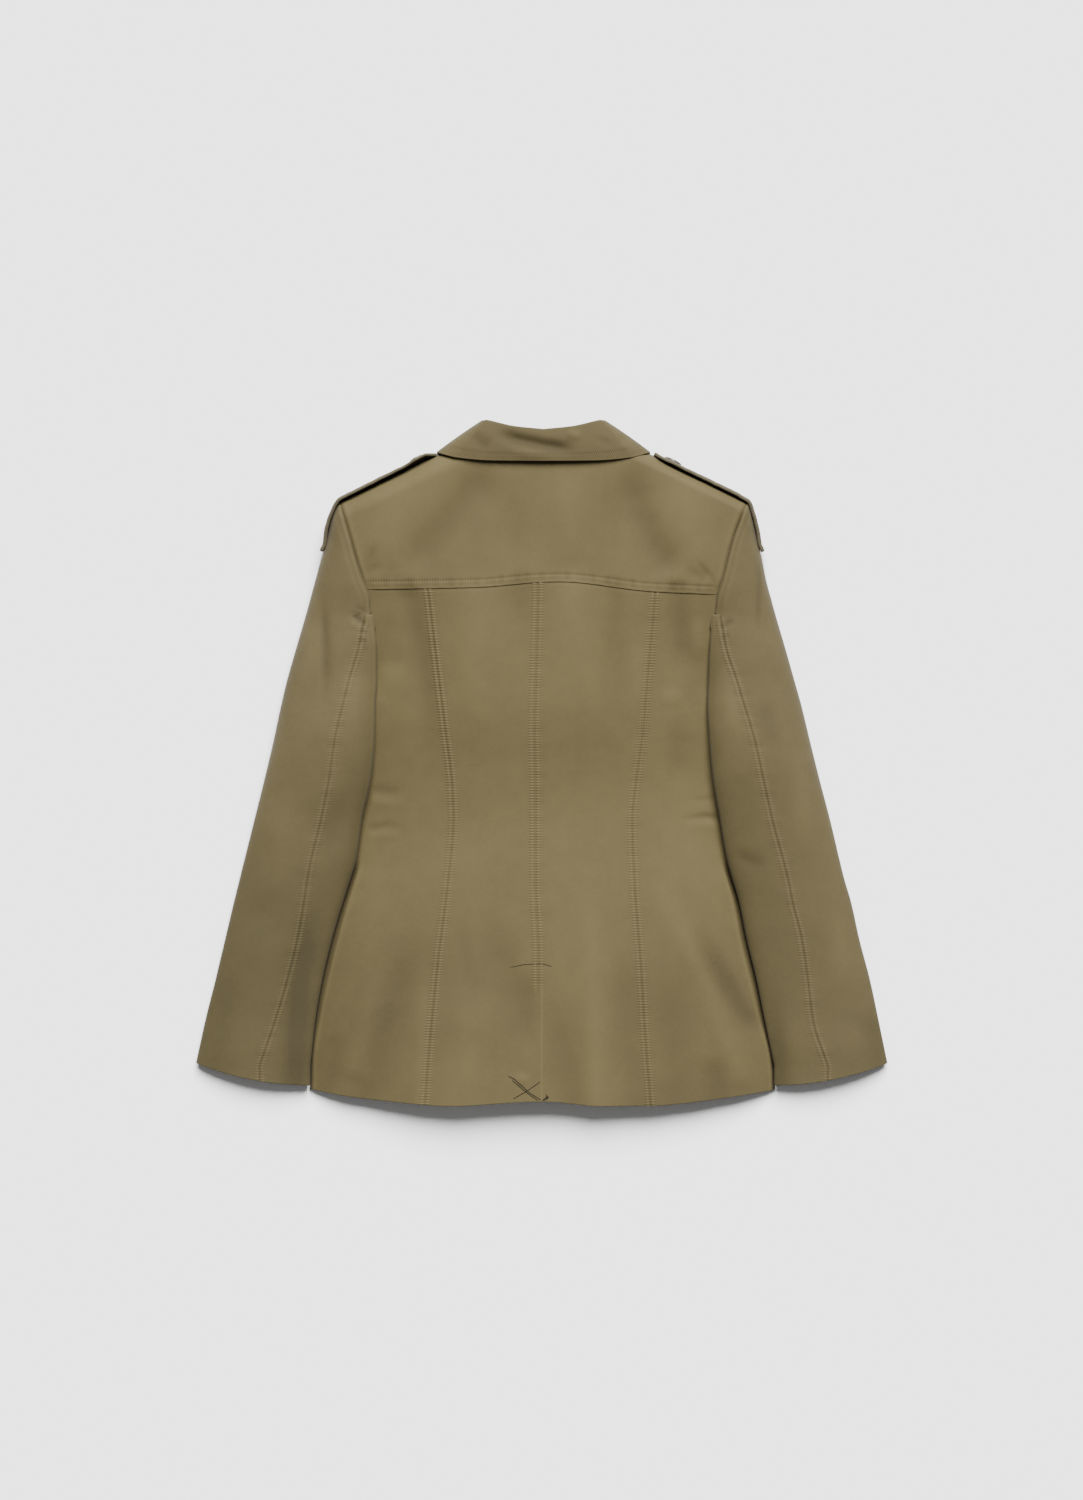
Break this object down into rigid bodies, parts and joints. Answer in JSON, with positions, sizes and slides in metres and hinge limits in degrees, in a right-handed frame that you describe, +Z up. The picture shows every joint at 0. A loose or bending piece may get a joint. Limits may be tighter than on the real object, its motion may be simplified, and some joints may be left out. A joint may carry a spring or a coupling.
{
  "type": "military jacket",
  "caption": "Tailored cotton field jacket laid face down, softly filled out, with shoulder straps, back yoke and centre vent.",
  "frame": {"origin": "centre of the jacket's box, on the surface that it lies on", "axes": "+X to the right as its back is looked at, +Y towards the collar, +Z up off the surface, out of the back"},
  "size_m": [0.6933, 0.6838, 0.0508],
  "materials": {
    "olive_cotton": "smooth twill with a slight sheen",
    "strap_cotton": "doubled twill with stitched edges",
    "button_plastic": "satin"
  },
  "bodies": {
    "root": {"yoke": "olive_cotton", "back_center_left": "olive_cotton", "back_center_right": "olive_cotton", "back_side_left": "olive_cotton", "back_side_right": "olive_cotton", "vent_underlap": "olive_cotton", "front_left": "olive_cotton", "front_right": "olive_cotton", "sleeve_upper_left": "olive_cotton", "sleeve_upper_right": "olive_cotton", "sleeve_under_left": "olive_cotton", "sleeve_under_right": "olive_cotton", "collar_fall": "olive_cotton", "collar_stand": "olive_cotton", "epaulette_left": "strap_cotton", "epaulette_right": "strap_cotton", "epaulette_button_left": "button_plastic", "epaulette_button_right": "button_plastic", "front_button_1": "button_plastic", "front_button_2": "button_plastic", "front_button_3": "button_plastic", "front_button_4": "button_plastic", "front_button_5": "button_plastic"}
  },
  "joints": []
}
